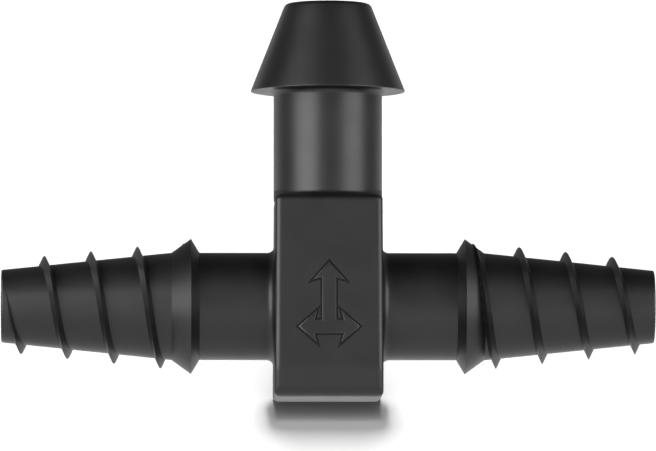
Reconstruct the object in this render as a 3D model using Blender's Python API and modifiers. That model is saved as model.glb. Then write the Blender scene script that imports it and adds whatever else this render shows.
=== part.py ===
"""Barbed tee connector for 4 mm micro-irrigation tubing.

A black moulding with three hose barbs: two opposite arms make the run, and a
shorter branch stands between them. It is built as named sections that meet at the
moulding's own creases, with a narrow seam between neighbours.

Frame: metres, +Z up along the branch, +X along the run, and the face with the flow
mark looks along -Y. The origin is the centre of the block's flat underside.
"""

import math

import bmesh
import bpy
from mathutils import Matrix

MM = 0.001

# Layout, shared by the run and the branch.
RUN_LENGTH = 25.56 * MM
RUN_AXIS_HEIGHT = 3.63 * MM
OVERALL_HEIGHT = 15.53 * MM
ARM_SHANK_DIAMETER = 4.2 * MM
BRANCH_SHANK_DIAMETER = 4.25 * MM
RUN_BORE_DIAMETER = 2.0 * MM
BRANCH_BORE_DIAMETER = 1.8 * MM
SEAM_GAP = 0.02 * MM

# Centre block. Its front and back lean inwards over the foot.
BLOCK_WIDTH = 4.21 * MM
BLOCK_DEPTH = 5.2 * MM
BLOCK_HEIGHT = 7.87 * MM
BLOCK_EDGE_RADIUS = 0.26 * MM
FOOT_HEIGHT = 1.06 * MM
FOOT_INSET = 0.26 * MM

# Collar barb on each arm: distances are from the block's centre, along the arm.
COLLAR_START = 5.03 * MM
COLLAR_CREST = 5.36 * MM
COLLAR_END = 6.12 * MM
COLLAR_DIAMETER = 5.3 * MM

# Spiral barb: a slender cone with one right-handed ridge of V section.
ARM_TIP_DIAMETER = 2.84 * MM
ARM_TIP_EDGE = 0.07 * MM
RIDGE_PITCH = 1.82 * MM
RIDGE_HEIGHT = 0.375 * MM
RIDGE_BASE = 0.35 * MM
RIDGE_ROOT_DEPTH = 0.15 * MM
RIDGE_OUTER_END = 12.63 * MM
RIDGE_FULL_HEIGHT = 12.03 * MM
RIDGE_INNER_END = 5.4 * MM
RIDGE_START_DIP = 0.03 * MM

# Branch.
LEDGE_HEIGHT = 12.07 * MM
LEDGE_FILLET = 0.18 * MM
RIM_DIAMETER = 6.04 * MM
RIM_LAND = 0.07 * MM
CONE_TOP_DIAMETER = 3.34 * MM
CONE_TOP_EDGE = 0.14 * MM

# Raised flow mark: a branch arrow standing on a double arrow for the run.
MARK_RELIEF = 0.07 * MM
MARK_REACH = 1.22 * MM
MARK_TOP = 1.63 * MM
MARK_BASELINE = -0.93 * MM
MARK_STROKE = 0.56 * MM
MARK_HEAD_LENGTH = 0.66 * MM
MARK_HEAD_WIDTH = 1.36 * MM
MARK_HEAD_SWEEP = 0.12 * MM

# Facets: steps of a full turn, and segments of a rounded edge.
TURN_STEPS = 40
RIDGE_STEPS = 24
EDGE_SEGMENTS = 4
FILLET_SEGMENTS = 3
WELD_DISTANCE = 0.0001 * MM
SHARP_ANGLE = math.radians(30)
FLAT_ANGLE = math.radians(1)

ARM_SHANK_RADIUS = ARM_SHANK_DIAMETER / 2
BRANCH_SHANK_RADIUS = BRANCH_SHANK_DIAMETER / 2
RUN_BORE_RADIUS = RUN_BORE_DIAMETER / 2
BRANCH_BORE_RADIUS = BRANCH_BORE_DIAMETER / 2
COLLAR_RADIUS = COLLAR_DIAMETER / 2
ARM_TIP = RUN_LENGTH / 2
ARM_TIP_RADIUS = ARM_TIP_DIAMETER / 2
RIM_RADIUS = RIM_DIAMETER / 2
CONE_TOP_RADIUS = CONE_TOP_DIAMETER / 2

PLASTIC_COLOUR = (0.022, 0.022, 0.022, 1.0)
PLASTIC_ROUGHNESS = 0.42


def clear_scene():
    for obj in list(bpy.data.objects):
        bpy.data.objects.remove(obj, do_unlink=True)


def new_collection(name):
    collection = bpy.data.collections.new(name)
    bpy.context.scene.collection.children.link(collection)
    return collection


def black_polypropylene(name):
    material = bpy.data.materials.new(name)
    material.use_nodes = True
    shader = material.node_tree.nodes["Principled BSDF"]
    shader.inputs["Base Color"].default_value = PLASTIC_COLOUR
    shader.inputs["Roughness"].default_value = PLASTIC_ROUGHNESS
    shader.inputs["Metallic"].default_value = 0.0
    return material


def mesh_from_bmesh(name, bm):
    mesh = bpy.data.meshes.new(name)
    bm.to_mesh(mesh)
    bm.free()
    return mesh


def add_part(name, mesh, parent=None):
    part = bpy.data.objects.new(name, mesh)
    part.parent = parent
    part.data.materials.append(black_polypropylene(f"{name}_plastic"))
    PARTS.objects.link(part)
    return part


def add_cutter(name, mesh, parent=None):
    """A helper solid, which a Boolean cuts away from a part or joins to it."""
    cutter = bpy.data.objects.new(name, mesh)
    cutter.parent = parent
    cutter.display_type = "WIRE"
    cutter.hide_render = True
    CUTTERS.objects.link(cutter)
    return cutter


def combine(part, other, operation):
    modifier = part.modifiers.new(f"{operation.lower()} {other.name}", "BOOLEAN")
    modifier.operation = operation
    modifier.solver = "EXACT"
    modifier.object = other


def apply_modifiers(part):
    """Bake the modifiers, then shade the round surfaces smooth between sharp creases."""
    depsgraph = bpy.context.evaluated_depsgraph_get()
    baked = bpy.data.meshes.new_from_object(part.evaluated_get(depsgraph))
    part.modifiers.clear()
    part.data = baked
    baked.shade_smooth()
    baked.set_sharp_from_angle(angle=SHARP_ANGLE)


def turned_part(name, outer, bore_radius, parent=None):
    """Turn an outer profile of (radius, height) points, top to bottom, round the bore."""
    top = outer[0][1]
    bottom = outer[-1][1]
    profile = outer + [(bore_radius, bottom), (bore_radius, top)]
    bm = bmesh.new()
    points = [bm.verts.new((radius, 0.0, height)) for radius, height in profile]
    for start, end in zip(points, points[1:] + points[:1]):
        bm.edges.new((start, end))
    part = add_part(name, mesh_from_bmesh(name, bm), parent)
    screw = part.modifiers.new("turn", "SCREW")
    screw.axis = "Z"
    screw.steps = TURN_STEPS
    screw.render_steps = TURN_STEPS
    screw.use_merge_vertices = True
    screw.merge_threshold = WELD_DISTANCE
    return part


def cylinder_mesh(name, radius, low, high):
    """A cylinder round the local Z axis, from height low to height high."""
    bm = bmesh.new()
    bmesh.ops.create_cone(
        bm,
        cap_ends=True,
        segments=TURN_STEPS,
        radius1=radius,
        radius2=radius,
        depth=high - low,
        matrix=Matrix.Translation((0.0, 0.0, (low + high) / 2)),
    )
    return mesh_from_bmesh(name, bm)


def arm_cone_radius(distance):
    """The arm's radius without its barbs: a shank, then a slender cone to the tip."""
    taper = (ARM_SHANK_RADIUS - ARM_TIP_RADIUS) / (ARM_TIP - COLLAR_END)
    return ARM_SHANK_RADIUS - max(0.0, distance - COLLAR_END) * taper


def ridge_section(distance):
    """Three points (radius, distance) of the ridge's V section where it crosses a distance."""
    rise = min(1.0, (RIDGE_OUTER_END - distance) / (RIDGE_OUTER_END - RIDGE_FULL_HEIGHT))
    height = (RIDGE_HEIGHT + RIDGE_START_DIP) * rise - RIDGE_START_DIP
    half_width = (height + RIDGE_ROOT_DEPTH) * RIDGE_BASE / 2 / RIDGE_HEIGHT
    inner = distance - half_width
    outer = distance + half_width
    return [
        (arm_cone_radius(inner) - RIDGE_ROOT_DEPTH, inner),
        (arm_cone_radius(distance) + height, distance),
        (arm_cone_radius(outer) - RIDGE_ROOT_DEPTH, outer),
    ]


def ridge_mesh(name):
    """Loft the V section along a conical helix whose crest is lowest at RIDGE_FULL_HEIGHT."""
    length = RIDGE_OUTER_END - RIDGE_INNER_END
    stations = round(length / RIDGE_PITCH * RIDGE_STEPS)
    bm = bmesh.new()
    rings = []
    for station in range(stations + 1):
        distance = RIDGE_INNER_END + length * station / stations
        angle = 2 * math.pi * (distance - RIDGE_FULL_HEIGHT) / RIDGE_PITCH
        ring = []
        for radius, along in ridge_section(distance):
            ring.append(bm.verts.new((radius * math.cos(angle), radius * math.sin(angle), along)))
        rings.append(ring)
    for ring, following in zip(rings, rings[1:]):
        for side in range(3):
            after = (side + 1) % 3
            bm.faces.new((ring[side], ring[after], following[after], following[side]))
    bm.faces.new(rings[0])
    bm.faces.new(rings[-1])
    bmesh.ops.recalc_face_normals(bm, faces=bm.faces)
    return mesh_from_bmesh(name, bm)


def block_mesh():
    """A cube stretched to the block's size, its front and back leaning in over the foot."""
    bm = bmesh.new()
    bmesh.ops.create_cube(bm, size=1.0)
    size = Matrix.Diagonal((BLOCK_WIDTH, BLOCK_DEPTH, BLOCK_HEIGHT, 1.0))
    stretch = Matrix.Translation((0.0, 0.0, BLOCK_HEIGHT / 2)) @ size
    bmesh.ops.transform(bm, matrix=stretch, verts=bm.verts)

    everything = bm.verts[:] + bm.edges[:] + bm.faces[:]
    top_of_foot = (0.0, 0.0, FOOT_HEIGHT)
    bmesh.ops.bisect_plane(bm, geom=everything, plane_co=top_of_foot, plane_no=(0, 0, 1))
    for vert in bm.verts:
        if vert.co.z < FOOT_HEIGHT / 2:
            vert.co.y -= math.copysign(FOOT_INSET, vert.co.y)
    bm.normal_update()
    bmesh.ops.dissolve_limit(bm, angle_limit=FLAT_ANGLE, verts=bm.verts, edges=bm.edges)
    return mesh_from_bmesh("center_block", bm)


def make_block():
    block = add_part("center_block", block_mesh())

    edges = block.modifiers.new("rounded edges", "BEVEL")
    edges.width = BLOCK_EDGE_RADIUS
    edges.segments = EDGE_SEGMENTS
    edges.limit_method = "NONE"

    run_mesh = cylinder_mesh("run_bore", RUN_BORE_RADIUS, -BLOCK_WIDTH, BLOCK_WIDTH)
    run_bore = add_cutter("run_bore", run_mesh)
    run_bore.location.z = RUN_AXIS_HEIGHT
    run_bore.rotation_euler.y = math.pi / 2
    combine(block, run_bore, "DIFFERENCE")

    branch_mesh = cylinder_mesh("bore", BRANCH_BORE_RADIUS, RUN_AXIS_HEIGHT, OVERALL_HEIGHT)
    combine(block, add_cutter("branch_bore", branch_mesh), "DIFFERENCE")
    combine(block, make_flow_mark(), "UNION")
    return [block]


def mark_outline():
    """The flow mark as one closed outline of (x, y) points, about its own centre."""
    stroke = MARK_STROKE / 2
    head = MARK_HEAD_WIDTH / 2
    run_neck = MARK_REACH - MARK_HEAD_LENGTH
    branch_neck = MARK_TOP - MARK_HEAD_LENGTH
    right = [
        (run_neck, MARK_BASELINE - stroke),
        (run_neck - MARK_HEAD_SWEEP, MARK_BASELINE - head),
        (MARK_REACH, MARK_BASELINE),
        (run_neck - MARK_HEAD_SWEEP, MARK_BASELINE + head),
        (run_neck, MARK_BASELINE + stroke),
        (stroke, MARK_BASELINE + stroke),
        (stroke, branch_neck),
        (head, branch_neck - MARK_HEAD_SWEEP),
    ]
    left = [(-x, y) for x, y in reversed(right)]
    return right + [(0.0, MARK_TOP)] + left


def make_flow_mark():
    """A flat solid in the mark's outline, half sunk in the block's front face."""
    curve = bpy.data.curves.new("flow_mark", "CURVE")
    curve.dimensions = "2D"
    curve.fill_mode = "BOTH"
    curve.extrude = MARK_RELIEF
    outline = mark_outline()
    spline = curve.splines.new("POLY")
    spline.points.add(len(outline) - 1)
    for point, (x, y) in zip(spline.points, outline):
        point.co = (x, y, 0.0, 1.0)
    spline.use_cyclic_u = True
    flat = bpy.data.objects.new("flow_mark_outline", curve)
    flat.location = (0.0, -BLOCK_DEPTH / 2, RUN_AXIS_HEIGHT)
    flat.rotation_euler.x = math.pi / 2
    CUTTERS.objects.link(flat)

    depsgraph = bpy.context.evaluated_depsgraph_get()
    bm = bmesh.new()
    bm.from_mesh(bpy.data.meshes.new_from_object(flat.evaluated_get(depsgraph)))
    bmesh.ops.remove_doubles(bm, verts=bm.verts, dist=WELD_DISTANCE)
    mark = add_cutter("flow_mark", mesh_from_bmesh("flow_mark", bm))
    mark.matrix_world = flat.matrix_world
    bpy.data.objects.remove(flat)
    return mark


def make_branch():
    seam = BLOCK_HEIGHT + SEAM_GAP
    under_ledge = LEDGE_HEIGHT - SEAM_GAP
    fillet = []
    for step in range(FILLET_SEGMENTS + 1):
        angle = math.pi / 2 * step / FILLET_SEGMENTS
        radius = BRANCH_SHANK_RADIUS + LEDGE_FILLET * (1 - math.sin(angle))
        fillet.append((radius, under_ledge - LEDGE_FILLET * (1 - math.cos(angle))))
    stem = turned_part("branch_stem", fillet + [(BRANCH_SHANK_RADIUS, seam)], BRANCH_BORE_RADIUS)

    top_edge = []
    for step in range(EDGE_SEGMENTS + 1):
        angle = math.pi / 2 * step / EDGE_SEGMENTS
        radius = CONE_TOP_RADIUS - CONE_TOP_EDGE * (1 - math.sin(angle))
        top_edge.append((radius, OVERALL_HEIGHT - CONE_TOP_EDGE * (1 - math.cos(angle))))
    rim = [(RIM_RADIUS, LEDGE_HEIGHT + RIM_LAND), (RIM_RADIUS, LEDGE_HEIGHT)]
    cone = turned_part("branch_cone_barb", top_edge + rim, BRANCH_BORE_RADIUS)
    return [stem, cone]


def make_arm(side, turn):
    """One arm of the run, built along its parent's +Z and turned to its side of the block."""
    axis = bpy.data.objects.new(f"{side}_arm_axis", None)
    axis.location.z = RUN_AXIS_HEIGHT
    axis.rotation_euler = (0.0, math.pi / 2, turn)
    PARTS.objects.link(axis)

    root = BLOCK_WIDTH / 2 + SEAM_GAP
    stem_profile = [(ARM_SHANK_RADIUS, COLLAR_START), (ARM_SHANK_RADIUS, root)]
    stem = turned_part(f"{side}_stem", stem_profile, RUN_BORE_RADIUS, axis)

    ridge = add_cutter(f"{side}_ridge", ridge_mesh(f"{side}_ridge"), axis)

    collar_profile = [
        (ARM_SHANK_RADIUS, COLLAR_END + RIDGE_PITCH),
        (ARM_SHANK_RADIUS, COLLAR_END),
        (COLLAR_RADIUS, COLLAR_CREST),
        (ARM_SHANK_RADIUS, COLLAR_START),
        (ARM_SHANK_RADIUS, COLLAR_START - RIDGE_PITCH),
    ]
    collar = turned_part(f"{side}_collar_barb", collar_profile, RUN_BORE_RADIUS, axis)
    collar_span = cylinder_mesh("span", 2 * COLLAR_RADIUS, COLLAR_START + SEAM_GAP, COLLAR_END)
    combine(collar, ridge, "UNION")
    combine(collar, add_cutter(f"{side}_collar_span", collar_span, axis), "INTERSECT")

    tip_profile = [
        (ARM_TIP_RADIUS - ARM_TIP_EDGE, ARM_TIP),
        (arm_cone_radius(ARM_TIP - ARM_TIP_EDGE), ARM_TIP - ARM_TIP_EDGE),
        (ARM_SHANK_RADIUS, COLLAR_END),
        (ARM_SHANK_RADIUS, COLLAR_START),
    ]
    spiral = turned_part(f"{side}_spiral_barb", tip_profile, RUN_BORE_RADIUS, axis)
    spiral_span = cylinder_mesh("span", 2 * COLLAR_RADIUS, COLLAR_END + SEAM_GAP, RUN_LENGTH)
    combine(spiral, ridge, "UNION")
    combine(spiral, add_cutter(f"{side}_spiral_span", spiral_span, axis), "INTERSECT")
    return [stem, collar, spiral]


clear_scene()
PARTS = new_collection("barbed_tee_connector")
CUTTERS = new_collection("barbed_tee_connector_cutters")

made = make_block() + make_branch() + make_arm("right", 0.0) + make_arm("left", math.pi)
for piece in made:
    apply_modifiers(piece)
for helper in list(CUTTERS.objects):
    bpy.data.objects.remove(helper)
bpy.data.collections.remove(CUTTERS)
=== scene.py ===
import math

import bmesh
import bpy
import numpy as np
from mathutils import Matrix, Vector


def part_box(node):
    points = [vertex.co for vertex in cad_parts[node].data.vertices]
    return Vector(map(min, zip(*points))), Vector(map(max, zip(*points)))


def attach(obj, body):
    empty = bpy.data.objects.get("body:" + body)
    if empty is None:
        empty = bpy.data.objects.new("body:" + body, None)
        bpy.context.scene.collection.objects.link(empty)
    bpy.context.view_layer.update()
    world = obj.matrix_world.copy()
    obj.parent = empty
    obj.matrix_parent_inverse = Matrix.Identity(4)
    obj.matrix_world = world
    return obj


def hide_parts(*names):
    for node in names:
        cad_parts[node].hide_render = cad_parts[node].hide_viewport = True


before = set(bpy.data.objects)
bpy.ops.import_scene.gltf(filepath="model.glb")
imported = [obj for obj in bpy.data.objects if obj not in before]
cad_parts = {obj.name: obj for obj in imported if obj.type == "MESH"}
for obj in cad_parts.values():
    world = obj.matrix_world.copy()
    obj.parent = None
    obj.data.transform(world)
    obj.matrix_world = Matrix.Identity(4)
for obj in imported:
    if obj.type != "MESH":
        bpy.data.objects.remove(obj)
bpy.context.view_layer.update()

# Looks of the barbed tee: fine surfaces over the CAD solids, black moulded polypropylene,
# a pale sheet and soft studio light. Everything is in metres, in the CAD's own frame.

MM = 0.001
BODY = "root"

# Sizes read from the CAD nodes, which keep a thin seam between them.
SEAM_GAP = 0.02 * MM
block_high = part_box("center_block")[1]
stem_low, stem_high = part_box("right_stem")
collar_low, collar_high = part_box("right_collar_barb")
spiral_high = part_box("right_spiral_barb")[1]
cone_low, cone_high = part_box("branch_cone_barb")

RUN_AXIS = (stem_low.z + stem_high.z) / 2
SHANK = (stem_high.z - stem_low.z) / 2
ARM_TIP = spiral_high.x
COLLAR_RADIUS = (collar_high.z - collar_low.z) / 2
COLLAR_START = collar_low.x - SEAM_GAP
COLLAR_END = collar_high.x
LEDGE = cone_low.z
RIM_RADIUS = cone_high.x
TOP = cone_high.z

# Details of the moulding that the boxes don't give.
COLLAR_CREST = 5.36 * MM
TIP_RADIUS = 1.42 * MM
TIP_EDGE = 0.08 * MM
RUN_BORE = 1.0 * MM
BRANCH_BORE = 0.9 * MM
BORE_EDGE = 0.06 * MM
RIDGE_PITCH = 1.82 * MM
RIDGE_HEIGHT = 0.375 * MM
RIDGE_HALF_BASE = 0.172 * MM
RIDGE_OUTER_END = 12.61 * MM
RIDGE_FULL_HEIGHT = 12.03 * MM
RIDGE_INNER_END = 5.4 * MM
BLOCK_EDGE = 0.26 * MM
BLOCK_DRAFT = 0.02 * MM
SIDE_FLAT = 0.03 * MM
FOOT_HEIGHT = 1.06 * MM
FOOT_INSET = 0.26 * MM
FOOT_BLEND = 0.12 * MM
FOOT_EDGE = 0.45 * MM
ARM_FILLET = 0.29 * MM
BRANCH_SHANK = 2.125 * MM
LEDGE_FILLET = 0.22 * MM
RIM_LAND = 0.035 * MM
RIM_EDGE = 0.015 * MM
CONE_TOP_RADIUS = 1.67 * MM
CONE_TOP_EDGE = 0.24 * MM

# The fillet at the branch's root starts inside the block, and fades out over the block's sides.
BRANCH_ROOT_FILLET = 0.24 * MM
BRANCH_ROOT_DEPTH = 0.1 * MM
FADE_START = 0.5 * MM
FADE_LENGTH = 1.0 * MM
LEAST_FILLET = 0.02

# The block's own piece runs a little way out along the shanks, past its fillets.
HUB_REACH = 2.5 * MM
HUB_TOP = block_high.z + 0.27 * MM

TURN_SEGMENTS = 192
LONGEST_SPAN = 0.4 * MM
WELD_DISTANCE = 1e-8


def make_object(name, verts, faces, sharp_degrees=35):
    """A smooth-shaded closed mesh, with doubled points welded."""
    mesh = bpy.data.meshes.new(name)
    mesh.from_pydata([tuple(v) for v in verts], [], [tuple(f) for f in faces])
    bm = bmesh.new()
    bm.from_mesh(mesh)
    bmesh.ops.remove_doubles(bm, verts=bm.verts, dist=WELD_DISTANCE)
    bmesh.ops.dissolve_degenerate(bm, edges=bm.edges, dist=WELD_DISTANCE)
    bmesh.ops.recalc_face_normals(bm, faces=bm.faces)
    bm.to_mesh(mesh)
    bm.free()
    mesh.shade_smooth()
    mesh.set_sharp_from_angle(angle=math.radians(sharp_degrees))
    piece = bpy.data.objects.new(name, mesh)
    bpy.context.scene.collection.objects.link(piece)
    return piece


# ---------------------------------------------------------------- turned pieces

def rounded_profile(corners, segments=8):
    """A closed (radius, height) outline whose corners are replaced by arcs of their own radius."""
    outline = []
    count = len(corners)
    for index, (r, z, rounding) in enumerate(corners):
        here = Vector((r, z))
        before = Vector(corners[index - 1][:2]) - here
        after = Vector(corners[(index + 1) % count][:2]) - here
        if rounding <= 0:
            outline.append(here)
            continue
        half_angle = before.angle(after) / 2
        back = rounding / math.tan(half_angle)
        start = here + before.normalized() * back
        end = here + after.normalized() * back
        centre = here + (before.normalized() + after.normalized()).normalized() * (
            rounding / math.sin(half_angle))
        first = start - centre
        last = end - centre
        sweep = first.angle(last)
        for step in range(segments + 1):
            share = step / segments
            mixed = (math.sin((1 - share) * sweep) * first + math.sin(share * sweep) * last) / math.sin(sweep)
            outline.append(centre + mixed)
    return outline


def split_long_spans(outline, longest):
    """Adds points along straight stretches, so that no span is longer than a limit."""
    fine = []
    for index, point in enumerate(outline):
        following = outline[(index + 1) % len(outline)]
        parts = max(1, math.ceil((following - point).length / longest))
        fine += [point.lerp(following, part / parts) for part in range(parts)]
    return fine


def turned_piece(name, corners):
    """Turns a rounded closed outline about the branch's axis."""
    outline = split_long_spans(rounded_profile(corners), LONGEST_SPAN)
    angles = np.linspace(0, 2 * math.pi, TURN_SEGMENTS, endpoint=False)
    verts = []
    for point in outline:
        for angle in angles:
            verts.append((point.x * math.cos(angle), point.x * math.sin(angle), point.y))
    faces = []
    count = len(outline)
    for row in range(count):
        below = (row + 1) % count
        for column in range(TURN_SEGMENTS):
            right = (column + 1) % TURN_SEGMENTS
            faces.append((row * TURN_SEGMENTS + column, below * TURN_SEGMENTS + column,
                          below * TURN_SEGMENTS + right, row * TURN_SEGMENTS + right))
    return make_object(name, verts, faces)


def make_branch_stem():
    """The shank flares out under the ledge, into a disc too thin to see."""
    flare = BRANCH_SHANK + 3 * LEDGE_FILLET
    disc_bottom = LEDGE - 0.001 * MM
    corners = [
        (BRANCH_BORE, LEDGE, 0),
        (flare, LEDGE, 0),
        (flare, disc_bottom, 0),
        (BRANCH_SHANK, disc_bottom, LEDGE_FILLET),
        (BRANCH_SHANK, HUB_TOP, 0),
        (BRANCH_BORE, HUB_TOP, 0),
    ]
    return turned_piece("branch_stem_moulding", corners)


def make_branch_cone():
    corners = [
        (BRANCH_BORE, TOP, BORE_EDGE),
        (CONE_TOP_RADIUS, TOP, CONE_TOP_EDGE),
        (RIM_RADIUS, LEDGE + RIM_LAND, RIM_EDGE),
        (RIM_RADIUS, LEDGE, RIM_EDGE),
        (BRANCH_BORE, LEDGE, 0),
    ]
    return turned_piece("branch_cone_moulding", corners)


# ---------------------------------------------------------------- arms

ARM_TAPER = (SHANK - TIP_RADIUS) / (ARM_TIP - COLLAR_END)
RIDGE_SLOPE = RIDGE_HEIGHT / RIDGE_HALF_BASE
ROW_SNAP = 0.004 * MM
ARC_STEPS = 8


def arm_core_radius(distance):
    """Shank, then the slender cone, without barbs."""
    return SHANK - np.maximum(0.0, distance - COLLAR_END) * ARM_TAPER


def ridge_height(crest):
    """How far the ridge stands over the core where its crest passes a distance; negative off its ends."""
    rise = (RIDGE_OUTER_END - crest) / (RIDGE_OUTER_END - RIDGE_FULL_HEIGHT)
    return RIDGE_HEIGHT * np.where(crest < RIDGE_INNER_END, -1.0, np.minimum(rise, 1.0))


def arm_radius(distance, angle):
    """Outer radius of an arm. Angle 0 is its lowest line, and it grows as a right-handed screw."""
    inner_flank = (distance - COLLAR_START) / (COLLAR_CREST - COLLAR_START)
    outer_flank = (COLLAR_END - distance) / (COLLAR_END - COLLAR_CREST)
    collar = SHANK + (COLLAR_RADIUS - SHANK) * np.minimum(inner_flank, outer_flank)

    turns = (distance - RIDGE_FULL_HEIGHT) / RIDGE_PITCH - angle / (2 * math.pi)
    offset = RIDGE_PITCH * (turns - np.round(turns))
    crest = distance - offset
    ridge = arm_core_radius(crest) + ridge_height(crest) - RIDGE_SLOPE * np.abs(offset)
    return np.maximum(np.maximum(arm_core_radius(distance), collar), ridge)


def arm_point(side, distance, radius, angle):
    """From arm coordinates to the row frame: the left arm is the right one, half a turn about Z."""
    across = radius * np.sin(angle)
    down = radius * np.cos(angle)
    return np.stack([side * distance, side * across, RUN_AXIS - down], axis=-1)


def grid_faces(rows, wrap_shift=0):
    """Quads between neighbouring columns of a grid; the wrap from last to first shifts the rows."""
    faces = []
    for column in range(TURN_SEGMENTS):
        right = (column + 1) % TURN_SEGMENTS
        shift = wrap_shift if right == 0 else 0
        for row in range(rows - 1 - shift):
            faces.append((column, row, column, row + 1, right, row + 1 + shift, right, row + shift))
    return faces


def ring_verts(side, radii, distances, angles):
    radius = np.broadcast_to(radii, (TURN_SEGMENTS, len(distances)))
    distance = np.broadcast_to(distances, (TURN_SEGMENTS, len(distances)))
    return arm_point(side, distance, radius, angles[:, None])


def arm_piece(name, side, outer_rows, wrap_shift, closing):
    """A closed arm section. outer_rows holds each column's distances along the arm, and closing
    the (radius, distance) points that lead back through the end face and bore to the start."""
    angles = np.linspace(0, 2 * math.pi, TURN_SEGMENTS, endpoint=False)
    radius = arm_radius(outer_rows, angles[:, None])
    tip_depth = np.maximum(0.0, outer_rows - (ARM_TIP - TIP_EDGE))
    radius -= TIP_EDGE - np.sqrt(np.maximum(0.0, TIP_EDGE * TIP_EDGE - tip_depth * tip_depth))
    outer = arm_point(side, outer_rows, radius, angles[:, None])
    back = ring_verts(side, np.array([c[0] for c in closing]), np.array([c[1] for c in closing]), angles)
    verts = np.concatenate([outer, back], axis=1)
    outer_count = outer_rows.shape[1]
    total = verts.shape[1]
    faces = []
    for face in grid_faces(outer_count, wrap_shift):
        faces.append([face[i] * total + face[i + 1] for i in range(0, 8, 2)])
    for column in range(TURN_SEGMENTS):
        right = (column + 1) % TURN_SEGMENTS
        for row in range(outer_count - 1, total):
            below = (row + 1) % total
            faces.append([column * total + row, column * total + below,
                          right * total + below, right * total + row])
    return make_object(name, verts.reshape(-1, 3), faces)


def make_arm_stem(side_name, side):
    start = HUB_REACH
    end = COLLAR_START
    rows = np.tile(np.linspace(start, end, 12), (TURN_SEGMENTS, 1))
    closing = [(RUN_BORE, end), (RUN_BORE, start)]
    return arm_piece(f"{side_name}_stem_moulding", side, rows, 0, closing)


def make_arm_collar(side_name, side):
    inner = np.linspace(COLLAR_START, COLLAR_CREST, 20, endpoint=False)
    outer = np.linspace(COLLAR_CREST, COLLAR_END, 90)
    rows = np.tile(np.concatenate([inner, outer]), (TURN_SEGMENTS, 1))
    closing = [(RUN_BORE, COLLAR_END), (RUN_BORE, COLLAR_START)]
    return arm_piece(f"{side_name}_collar_moulding", side, rows, 0, closing)


def tip_closing(edge_start):
    """The tip's rounded edge and face, then the bore's rounded edge and the bore."""
    edge_radius = arm_core_radius(edge_start)
    closing = []
    for step in range(1, ARC_STEPS + 1):
        turn = math.pi / 2 * step / ARC_STEPS
        closing.append((edge_radius - TIP_EDGE * (1 - math.cos(turn)),
                        edge_start + TIP_EDGE * math.sin(turn)))
    for step in range(ARC_STEPS + 1):
        turn = math.pi / 2 * step / ARC_STEPS
        closing.append((RUN_BORE + BORE_EDGE * (1 - math.sin(turn)),
                        ARM_TIP - BORE_EDGE * (1 - math.cos(turn))))
    closing.append((RUN_BORE, COLLAR_END))
    return closing


def make_arm_spiral(side_name, side):
    """The rows follow the ridge, so that its crest and roots are edges of the mesh."""
    flank = np.array([0.25, 0.5, 0.75, 1.0])
    land = np.array([0.05, 0.2, 0.4, 0.6, 0.8])
    first = math.floor((COLLAR_END - RIDGE_FULL_HEIGHT) / RIDGE_PITCH) - 1
    last = math.ceil((ARM_TIP - RIDGE_FULL_HEIGHT) / RIDGE_PITCH) + 1
    angles = np.linspace(0, 2 * math.pi, TURN_SEGMENTS, endpoint=False)[:, None]
    bands = []
    for winding in range(first, last + 1):
        crest = RIDGE_FULL_HEIGHT + RIDGE_PITCH * (winding + angles / (2 * math.pi))
        height = np.maximum(ridge_height(crest), 0.02 * RIDGE_HEIGHT)
        before = height / (RIDGE_SLOPE + ARM_TAPER)
        after = height / (RIDGE_SLOPE - ARM_TAPER)
        bands += [
            crest - RIDGE_PITCH / 2,
            crest - before - (RIDGE_PITCH / 2 - before) * land[::-1],
            crest - before * flank[::-1],
            crest,
            crest + after * flank,
            crest + after + (RIDGE_PITCH / 2 - after) * land,
        ]
    rows = np.concatenate(bands, axis=1)
    rows_per_winding = rows.shape[1] // (last + 1 - first)
    edge_start = ARM_TIP - TIP_EDGE
    rows = np.where(rows < COLLAR_END + ROW_SNAP, COLLAR_END, rows)
    rows = np.where(rows > edge_start - ROW_SNAP, edge_start, rows)
    return arm_piece(f"{side_name}_spiral_moulding", side, rows, rows_per_winding, tip_closing(edge_start))


# ---------------------------------------------------------------- centre block

MARK_RELIEF = 0.08 * MM
MARK_REACH = 1.22 * MM
MARK_TOP = 1.63 * MM
MARK_BASELINE = -0.93 * MM
MARK_STROKE = 0.56 * MM
MARK_HEAD_LENGTH = 0.66 * MM
MARK_HEAD_WIDTH = 1.36 * MM
MARK_HEAD_SWEEP = 0.12 * MM
VOXEL = 0.06 * MM
HUB_SPARE = 4 * VOXEL

# The mark's edge from inside the block outwards: (distance outside the outline, height).
MARK_EDGE = (
    (0.004 * MM, -MARK_RELIEF),
    (0.0, 0.35 * MARK_RELIEF),
    (-0.006 * MM, 0.6 * MARK_RELIEF),
    (-0.03 * MM, 0.86 * MARK_RELIEF),
    (-0.065 * MM, 0.99 * MARK_RELIEF),
    (-0.09 * MM, MARK_RELIEF),
)

# The fine groove that sets the mark off from the face.
GROOVE_EDGE = (
    (0.03 * MM, -0.05 * MM),
    (0.05 * MM, 0.0),
    (0.05 * MM, 0.05 * MM),
)


def mark_outline():
    """The flow mark: a branch arrow standing on a double arrow, about the mark's own centre."""
    stroke = MARK_STROKE / 2
    head = MARK_HEAD_WIDTH / 2
    run_neck = MARK_REACH - MARK_HEAD_LENGTH
    branch_neck = MARK_TOP - MARK_HEAD_LENGTH
    right = [
        (run_neck, MARK_BASELINE - stroke),
        (run_neck - MARK_HEAD_SWEEP, MARK_BASELINE - head),
        (MARK_REACH, MARK_BASELINE),
        (run_neck - MARK_HEAD_SWEEP, MARK_BASELINE + head),
        (run_neck, MARK_BASELINE + stroke),
        (stroke, MARK_BASELINE + stroke),
        (stroke, branch_neck),
        (head, branch_neck - MARK_HEAD_SWEEP),
    ]
    left = [(-x, z) for x, z in reversed(right)]
    return right + [(0.0, MARK_TOP)] + left


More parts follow.
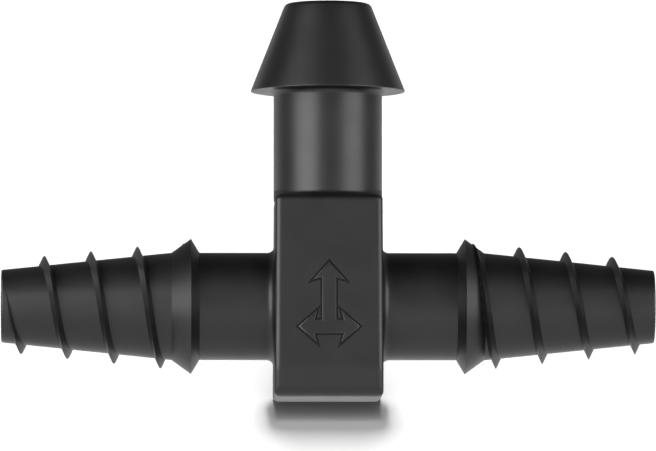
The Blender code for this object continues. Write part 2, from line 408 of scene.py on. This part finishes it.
def round_union(a, b, radius):
    """Union of two distance fields, with a circular fillet in the crease between them."""
    over_a = np.maximum(radius - a, 0.0)
    over_b = np.maximum(radius - b, 0.0)
    return np.maximum(radius, np.minimum(a, b)) - np.hypot(over_a, over_b)


def hub_distance(points):
    """Distance field of the block with its arm roots and branch root."""
    x, y, z = points.T
    middle = block_high.z / 2
    draft = BLOCK_DRAFT * (middle - z) / middle
    below = FOOT_HEIGHT - z
    lean = FOOT_INSET * (below + np.hypot(below, FOOT_BLEND)) / 2 / FOOT_HEIGHT
    beyond = np.stack([
        np.abs(x) - (block_high.x - BLOCK_EDGE + SIDE_FLAT + draft),
        np.abs(y) + lean - (block_high.y - BLOCK_EDGE),
        np.abs(z - middle) - (middle - BLOCK_EDGE)], axis=1)
    block = (np.linalg.norm(np.maximum(beyond, 0.0), axis=1)
             + np.minimum(beyond.max(axis=1), 0.0) - BLOCK_EDGE)
    block = np.maximum(block, np.abs(x) - (block_high.x + draft))
    face = np.abs(y) + lean - block_high.y
    foot = (np.hypot(np.maximum(face + FOOT_EDGE, 0.0), np.maximum(FOOT_EDGE - z, 0.0))
            + np.minimum(np.maximum(face, -z) + FOOT_EDGE, 0.0) - FOOT_EDGE)
    block = np.maximum(block, foot)
    run = np.hypot(y, z - RUN_AXIS) - SHANK
    branch = np.maximum(np.hypot(x, y) - BRANCH_SHANK, block_high.z - BRANCH_ROOT_DEPTH - z)
    solid = round_union(block, run, ARM_FILLET)
    fade = np.clip((np.abs(y) - FADE_START) / FADE_LENGTH, LEAST_FILLET, 1.0)
    return round_union(solid, branch, BRANCH_ROOT_FILLET * fade)


def project_to_hub(points, rounds=6, least_slope=0.05):
    """Newton steps that bring points onto the distance field's zero surface."""
    step = 0.001 * MM
    for _ in range(rounds):
        value = hub_distance(points)
        gradient = np.stack([
            (hub_distance(points + shift) - hub_distance(points - shift)) / (2 * step)
            for shift in np.eye(3) * step], axis=1)
        slope = np.maximum((gradient * gradient).sum(axis=1), least_slope)
        points = points - (value / slope)[:, None] * gradient
    return points


def add_box(bm, size, middle_height):
    place = Matrix.Translation((0, 0, middle_height)) @ Matrix.Diagonal((*size, 1))
    bmesh.ops.create_cube(bm, size=1, matrix=place)


def add_cylinder(bm, radius, low, high, matrix):
    place = matrix @ Matrix.Translation((0, 0, (low + high) / 2))
    bmesh.ops.create_cone(bm, cap_ends=True, segments=TURN_SEGMENTS, radius1=radius, radius2=radius,
                          depth=high - low, matrix=place)


def helper_object(name, bm):
    mesh = bpy.data.meshes.new(name)
    bm.to_mesh(mesh)
    bm.free()
    helper = bpy.data.objects.new(name, mesh)
    bpy.context.scene.collection.objects.link(helper)
    return helper


def apply_and_drop(piece, helpers=()):
    """Applies a piece's modifiers and removes the helper solids they used."""
    depsgraph = bpy.context.evaluated_depsgraph_get()
    mesh = bpy.data.meshes.new_from_object(piece.evaluated_get(depsgraph))
    piece.modifiers.clear()
    piece.data = mesh
    for helper in helpers:
        bpy.data.objects.remove(helper)


def along_run():
    return Matrix.Translation((0, 0, RUN_AXIS)) @ Matrix.Rotation(math.pi / 2, 4, "Y")


def offset_outline(outline, distance):
    """A closed anticlockwise outline moved outwards by a distance, with mitred corners."""
    moved = []
    for index, point in enumerate(outline):
        here = Vector(point)
        arriving = (here - Vector(outline[index - 1])).normalized()
        leaving = (Vector(outline[(index + 1) % len(outline)]) - here).normalized()
        outwards = Vector((arriving.y, -arriving.x)) + Vector((leaving.y, -leaving.x))
        outwards.normalize()
        moved.append(here + outwards * distance / outwards.dot(Vector((leaving.y, -leaving.x))))
    return moved


def outline_solid(name, edge):
    """A solid on the front face whose wall follows the mark's outline through an edge profile."""
    bm = bmesh.new()
    rings = []
    for outset, height in edge:
        outline = offset_outline(mark_outline(), outset)
        rings.append([bm.verts.new((x, -block_high.y - height, RUN_AXIS + z)) for x, z in outline])
    for ring, following in zip(rings, rings[1:]):
        for index in range(len(ring)):
            after = (index + 1) % len(ring)
            bm.faces.new((ring[index], ring[after], following[after], following[index]))
    bm.faces.new(rings[0])
    bm.faces.new(rings[-1])
    bmesh.ops.recalc_face_normals(bm, faces=bm.faces)
    return helper_object(name, bm)


def rough_hub():
    """The block and its shanks as one voxel skin, a little longer than they end up."""
    bm = bmesh.new()
    add_box(bm, (2 * block_high.x, 2 * block_high.y, block_high.z), block_high.z / 2)
    add_cylinder(bm, SHANK, -HUB_REACH - HUB_SPARE, HUB_REACH + HUB_SPARE, along_run())
    add_cylinder(bm, BRANCH_SHANK, RUN_AXIS, HUB_TOP + HUB_SPARE, Matrix.Identity(4))
    hub = helper_object("center_block_moulding", bm)
    remesh = hub.modifiers.new("remesh", "REMESH")
    remesh.mode = "VOXEL"
    remesh.voxel_size = VOXEL
    apply_and_drop(hub)
    return hub


def bring_to_surface(hub):
    """Moves the skin's points onto the exact surface, except on the caps that are trimmed off."""
    points = np.empty(len(hub.data.vertices) * 3)
    hub.data.vertices.foreach_get("co", points)
    points = points.reshape(-1, 3)
    past_arms = np.abs(points[:, 0]) > HUB_REACH + HUB_SPARE - VOXEL
    past_branch = points[:, 2] > HUB_TOP + HUB_SPARE - VOXEL
    free = ~(past_arms | past_branch)
    points[free] = project_to_hub(points)[free]
    hub.data.vertices.foreach_set("co", points.reshape(-1))


def trim_box():
    bm = bmesh.new()
    low = -MM
    add_box(bm, (2 * HUB_REACH, 4 * block_high.y, HUB_TOP - low), (HUB_TOP + low) / 2)
    return helper_object("trim", bm)


def bore(name, radius, low, high, matrix):
    bm = bmesh.new()
    add_cylinder(bm, radius, low, high, matrix)
    return helper_object(name, bm)


def make_hub():
    """The block: a rough union is remeshed, brought onto the exact surface, then cut and bored."""
    hub = rough_hub()
    bring_to_surface(hub)
    cuts = (
        (outline_solid("groove", GROOVE_EDGE), "DIFFERENCE"),
        (outline_solid("flow_mark", MARK_EDGE), "UNION"),
        (trim_box(), "INTERSECT"),
        (bore("run_bore", RUN_BORE, -2 * HUB_REACH, 2 * HUB_REACH, along_run()), "DIFFERENCE"),
        (bore("branch_bore", BRANCH_BORE, RUN_AXIS, 2 * HUB_TOP, Matrix.Identity(4)), "DIFFERENCE"),
    )
    for helper, operation in cuts:
        cut = hub.modifiers.new(helper.name, "BOOLEAN")
        cut.operation = operation
        cut.object = helper
        cut.solver = "EXACT"
    apply_and_drop(hub, [helper for helper, _ in cuts])
    hub.data.shade_smooth()
    hub.data.set_sharp_from_angle(angle=math.radians(40))
    return hub


# ---------------------------------------------------------------- materials

def black_moulded_plastic():
    material = bpy.data.materials.new("black_polypropylene")
    material.use_nodes = True
    nodes = material.node_tree.nodes
    links = material.node_tree.links
    shader = nodes["Principled BSDF"]
    shader.inputs["IOR"].default_value = 1.49
    where = nodes.new("ShaderNodeTexCoord")

    clouds = nodes.new("ShaderNodeTexNoise")
    clouds.inputs["Scale"].default_value = 900
    clouds.inputs["Detail"].default_value = 4
    links.new(where.outputs["Object"], clouds.inputs["Vector"])
    tint = nodes.new("ShaderNodeValToRGB")
    tint.color_ramp.elements[0].position = 0.3
    tint.color_ramp.elements[0].color = (0.003, 0.003, 0.003, 1)
    tint.color_ramp.elements[1].position = 0.7
    tint.color_ramp.elements[1].color = (0.0042, 0.0042, 0.0041, 1)
    links.new(clouds.outputs["Fac"], tint.inputs["Fac"])
    links.new(tint.outputs["Color"], shader.inputs["Base Color"])

    finish = nodes.new("ShaderNodeMapRange")
    finish.inputs["From Min"].default_value = 0.3
    finish.inputs["From Max"].default_value = 0.7
    finish.inputs["To Min"].default_value = 0.36
    finish.inputs["To Max"].default_value = 0.42
    links.new(clouds.outputs["Fac"], finish.inputs["Value"])
    links.new(finish.outputs["Result"], shader.inputs["Roughness"])

    grain = nodes.new("ShaderNodeTexNoise")
    grain.inputs["Scale"].default_value = 22000
    grain.inputs["Detail"].default_value = 2
    links.new(where.outputs["Object"], grain.inputs["Vector"])
    bump = nodes.new("ShaderNodeBump")
    bump.inputs["Strength"].default_value = 0.35
    bump.inputs["Distance"].default_value = 0.004 * MM
    links.new(grain.outputs["Fac"], bump.inputs["Height"])
    links.new(bump.outputs["Normal"], shader.inputs["Normal"])
    return material


def matt_grey(name, value):
    material = bpy.data.materials.new(name)
    material.use_nodes = True
    shader = material.node_tree.nodes["Principled BSDF"]
    shader.inputs["Base Color"].default_value = (value, value, value, 1)
    shader.inputs["Roughness"].default_value = 1.0
    shader.inputs["Specular IOR Level"].default_value = 0.0
    return material


# ---------------------------------------------------------------- studio

CAMERA_DISTANCE = 357 * MM
CAMERA_AZIMUTH = math.radians(-1.2)
CAMERA_ELEVATION = math.radians(-4.0)
CAMERA_TARGET = Vector((0.008 * MM, 0, 6.813 * MM))
FLOOR_TILT = math.radians(16)
FLOOR_SIZE = 3.0
FLOOR_GREY = 0.45

# Brightness of the surroundings: by the sine of the elevation, 0 straight down and 1 straight
# up, and from 0 in front of the object, where the camera is, to 1 behind it.
SKY_BRIGHTNESS = (
    (0.0, 1.1), (0.2, 1.03), (0.3, 1.1), (0.4, 0.9), (0.5, 0.5),
    (0.54, 0.36), (0.69, 0.19), (0.76, 0.16), (0.88, 0.13), (0.93, 0.1), (1.0, 0.02))
ROUND_BRIGHTNESS = ((0.0, 1.0), (0.5, 0.8), (0.75, 0.74), (0.93, 0.8), (1.0, 1.0))
SKY_STRENGTH = 1.18


def direction(azimuth, elevation):
    """Unit vector towards a viewer at an azimuth and elevation; azimuth 0 stands at -Y."""
    return Vector((math.sin(azimuth) * math.cos(elevation),
                   -math.cos(azimuth) * math.cos(elevation), math.sin(elevation)))


def make_camera():
    camera = bpy.data.objects.new("camera", bpy.data.cameras.new("camera"))
    camera.data.lens = 500
    camera.data.sensor_width = 36
    back = direction(CAMERA_AZIMUTH, CAMERA_ELEVATION)
    camera.location = CAMERA_TARGET + CAMERA_DISTANCE * back
    camera.rotation_euler = back.to_track_quat("Z", "Y").to_euler()
    bpy.context.scene.collection.objects.link(camera)
    bpy.context.scene.camera = camera


def make_floor():
    """A pale sheet that touches the block's far bottom edge and falls gently towards the camera."""
    bm = bmesh.new()
    bmesh.ops.create_grid(bm, x_segments=2, y_segments=2, size=FLOOR_SIZE / 2)
    floor = helper_object("floor", bm)
    floor.rotation_euler.x = FLOOR_TILT
    floor.location.y = block_high.y - FOOT_INSET - FOOT_EDGE
    floor.data.materials.append(matt_grey("pale_sheet", FLOOR_GREY))
    floor.visible_glossy = False
    return floor


def collection_of(name, objects):
    collection = bpy.data.collections.new(name)
    for obj in objects:
        collection.objects.link(obj)
    return collection


def area_light(name, azimuth, elevation, distance, width, height, power, lit=None, blockers=None):
    """A soft lamp that faces the object, from degrees round and above it and a distance in metres.
    It lights the lit collection only, and only the blockers cast its shadow, or everything does."""
    light = bpy.data.lights.new(name, "AREA")
    light.shape = "RECTANGLE"
    light.size = width
    light.size_y = height
    light.energy = power
    lamp = bpy.data.objects.new(name, light)
    towards = direction(math.radians(azimuth), math.radians(elevation))
    aim = Vector((0, 0, CAMERA_TARGET.z))
    lamp.location = aim + distance * towards
    lamp.rotation_euler = towards.to_track_quat("Z", "Y").to_euler()
    lamp.light_linking.receiver_collection = lit
    lamp.light_linking.blocker_collection = blockers
    bpy.context.scene.collection.objects.link(lamp)


def make_world():
    """White below the horizon, falling to nearly black overhead, and dimmer behind the object."""
    world = bpy.data.worlds.new("studio")
    world.use_nodes = True
    bpy.context.scene.world = world
    nodes = world.node_tree.nodes
    links = world.node_tree.links
    where = nodes.new("ShaderNodeTexCoord")
    split = nodes.new("ShaderNodeSeparateXYZ")
    links.new(where.outputs["Generated"], split.inputs["Vector"])
    height = nodes.new("ShaderNodeMapRange")
    height.inputs["From Min"].default_value = -1
    links.new(split.outputs["Z"], height.inputs["Value"])
    sky = nodes.new("ShaderNodeValToRGB")
    set_ramp(sky.color_ramp, SKY_BRIGHTNESS)
    links.new(height.outputs["Result"], sky.inputs["Fac"])
    depth = nodes.new("ShaderNodeMapRange")
    depth.inputs["From Min"].default_value = -1
    links.new(split.outputs["Y"], depth.inputs["Value"])
    round_about = nodes.new("ShaderNodeValToRGB")
    set_ramp(round_about.color_ramp, ROUND_BRIGHTNESS)
    links.new(depth.outputs["Result"], round_about.inputs["Fac"])
    both = nodes.new("ShaderNodeMix")
    both.data_type = "RGBA"
    both.blend_type = "MULTIPLY"
    both.inputs["Factor"].default_value = 1.0
    links.new(sky.outputs["Color"], both.inputs[6])
    links.new(round_about.outputs["Color"], both.inputs[7])
    links.new(both.outputs[2], nodes["Background"].inputs["Color"])
    nodes["Background"].inputs["Strength"].default_value = SKY_STRENGTH


def set_ramp(ramp, stops):
    """Grey stops of (position, brightness)."""
    while len(ramp.elements) > 1:
        ramp.elements.remove(ramp.elements[-1])
    for index, (position, value) in enumerate(stops):
        element = ramp.elements[0] if index == 0 else ramp.elements.new(position)
        element.position = position
        element.color = (value, value, value, 1)


make_camera()

pieces = {
    "center_block": make_hub(),
    "branch_stem": make_branch_stem(),
    "branch_cone_barb": make_branch_cone(),
}
for side_name, side in (("left", -1), ("right", 1)):
    pieces[f"{side_name}_stem"] = make_arm_stem(side_name, side)
    pieces[f"{side_name}_collar_barb"] = make_arm_collar(side_name, side)
    pieces[f"{side_name}_spiral_barb"] = make_arm_spiral(side_name, side)

plastic = black_moulded_plastic()
for node, piece in pieces.items():
    piece.data.materials.clear()
    piece.data.materials.append(plastic)
    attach(piece, BODY)
    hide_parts(node)

floor = make_floor()
make_world()
sheet = collection_of("sheet", [floor])
block = collection_of("block", [pieces["center_block"]])
fitting = collection_of("fitting", pieces.values())
branch = collection_of("branch", [pieces["branch_stem"], pieces["branch_cone_barb"]])
left_spiral = collection_of("left_spiral", [pieces["left_spiral_barb"]])
spirals = collection_of("spirals", [pieces["left_spiral_barb"], pieces["right_spiral_barb"]])
all_but_right_stem = collection_of(
    "all_but_right_stem", [piece for node, piece in pieces.items() if node != "right_stem"])

area_light("left_softbox", -48, 12, 0.30, 0.26, 0.26, 1.15, fitting)
area_light("right_softbox", 54, 12, 0.30, 0.24, 0.26, 0.78, fitting)
area_light("front_fill", 0, 25, 1.2, 1.1, 1.6, 1.12, all_but_right_stem)
area_light("left_rim", -142, 5, 0.5, 0.38, 0.3, 0.16, branch)
area_light("right_rim", 142, 5, 0.5, 0.38, 0.3, 0.14, branch)
area_light("left_high", -85, 38, 0.4, 0.25, 0.2, 1.25, spirals)
area_light("left_card", -8, 30, 0.5, 0.3, 0.24, 0.06, left_spiral)
area_light("top_strip", 180, 77, 3.0, 0.6, 1.4, 176, sheet, block)
area_light("front_strip", 0, 20, 3.0, 0.8, 4.4, 142, sheet, block)

bpy.context.scene.view_settings.view_transform = "Standard"
